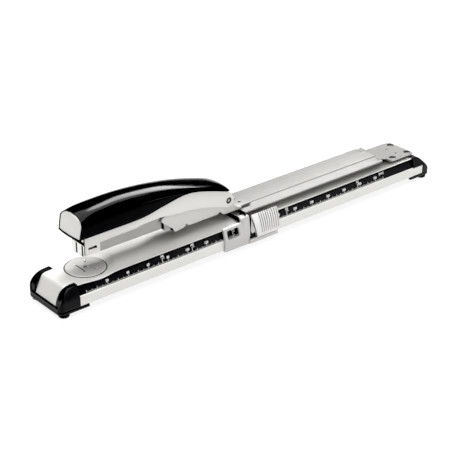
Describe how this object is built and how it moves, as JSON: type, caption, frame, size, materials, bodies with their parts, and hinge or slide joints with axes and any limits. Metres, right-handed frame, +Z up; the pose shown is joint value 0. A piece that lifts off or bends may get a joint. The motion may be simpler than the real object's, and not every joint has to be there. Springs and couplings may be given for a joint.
{
  "type": "long reach stapler",
  "caption": "Long reach stapler: glossy handle and staple magazine on a long arm above a ruled base, with a turning anvil and a sliding paper stop.",
  "frame": {"origin": "middle of the footprint, on the surface that the rubber feet rest on", "axes": "+X from the stapling head towards the rear along the base, +Y away from the side with the reading window, +Z up"},
  "size_m": [0.419, 0.0525, 0.079],
  "materials": {
    "silver_paint": "satin",
    "steel": "brushed",
    "spring_steel": "bright",
    "chrome": "polished",
    "dark_steel": "blackened",
    "black_plastic": "satin",
    "gloss_black": "gloss",
    "scale_black": "satin",
    "arm_aluminium": "satin anodised",
    "silver_plastic": "satin",
    "clear": "clear",
    "rubber": "matte"
  },
  "bodies": {
    "base": {"base_cover": "silver_paint", "base_floor_plate": "steel", "ruler_strip_near": "scale_black", "ruler_strip_far": "scale_black", "front_end_cap": "black_plastic", "rear_end_cap": "black_plastic", "rubber_feet": "rubber", "arm_mount_block": "steel", "mount_shim": "steel", "arm_screws": "dark_steel", "arm_rivets": "dark_steel", "long_arm": "arm_aluminium", "head_bracket": "silver_paint", "bracket_rivets": "steel", "pivot_pin": "dark_steel", "head_return_spring": "spring_steel"},
    "anvil": {"anvil_disc": "steel", "anvil_shaft": "steel", "anvil_knob": "black_plastic", "anvil_spring": "spring_steel"},
    "magazine": {"magazine_housing": "silver_paint", "housing_guide_pins": "steel", "latch_carrier": "silver_paint", "latch_pin": "steel", "handle_return_spring": "spring_steel", "latch_spring": "spring_steel"},
    "tray": {"staple_tray": "steel", "nose_plate": "chrome", "staple_rail": "steel", "guide_rod": "steel", "staple_strip": "steel", "pusher_spring": "spring_steel"},
    "pusher": {"pusher": "black_plastic"},
    "latch": {"release_latch": "black_plastic"},
    "handle": {"handle_cover": "gloss_black", "nose_cap": "silver_paint", "handle_lever": "steel", "driver_blade": "steel", "blade_rivets": "steel"},
    "paper_stop": {"stop_body": "silver_plastic", "stop_window": "clear", "grip_spring": "spring_steel"},
    "stop_grip": {"stop_grip": "silver_plastic", "stop_brake_pad": "rubber"}
  },
  "joints": [
    {"name": "head_hinge", "type": "hinge", "parent": "base", "child": "magazine", "pos_m": [-0.0326, 0, 0.0446], "axis": [0, -1, 0], "range_deg": [0, 5.1], "stiffness_Nm_per_rad": 2, "springref_deg": -20.05, "deforming": ["head_return_spring"]},
    {"name": "handle_hinge", "type": "hinge", "parent": "magazine", "child": "handle", "pos_m": [-0.0326, 0, 0.0446], "axis": [0, -1, 0], "range_deg": [0, 3.1], "stiffness_Nm_per_rad": 3, "springref_deg": -8.59, "deforming": ["handle_return_spring"]},
    {"name": "tray_slide", "type": "slide", "parent": "magazine", "child": "tray", "axis": [1, 0, 0], "range_m": [-0.06, 0]},
    {"name": "pusher_slide", "type": "slide", "parent": "tray", "child": "pusher", "axis": [1, 0, 0], "range_m": [0, 0.034], "stiffness_N_per_m": 20, "springref_m": -0.05, "deforming": ["pusher_spring"]},
    {"name": "latch_pivot", "type": "hinge", "parent": "magazine", "child": "latch", "pos_m": [-0.0939, 0, 0.0396], "axis": [0, -1, 0], "range_deg": [0, 10], "stiffness_Nm_per_rad": 0.05, "springref_deg": -17.19, "deforming": ["latch_spring"]},
    {"name": "anvil_turn", "type": "hinge", "parent": "base", "child": "anvil", "pos_m": [-0.1694, 0, 0.0243], "axis": [0, 0, 1], "range_deg": [0, 180]},
    {"name": "stop_slide", "type": "slide", "parent": "base", "child": "paper_stop", "axis": [1, 0, 0], "range_m": [-0.095, 0.15]},
    {"name": "grip_squeeze", "type": "slide", "parent": "paper_stop", "child": "stop_grip", "axis": [0, 1, 0], "range_m": [0, 0.0012], "stiffness_N_per_m": 2000, "springref_m": -0.0005, "deforming": ["grip_spring"]}
  ]
}
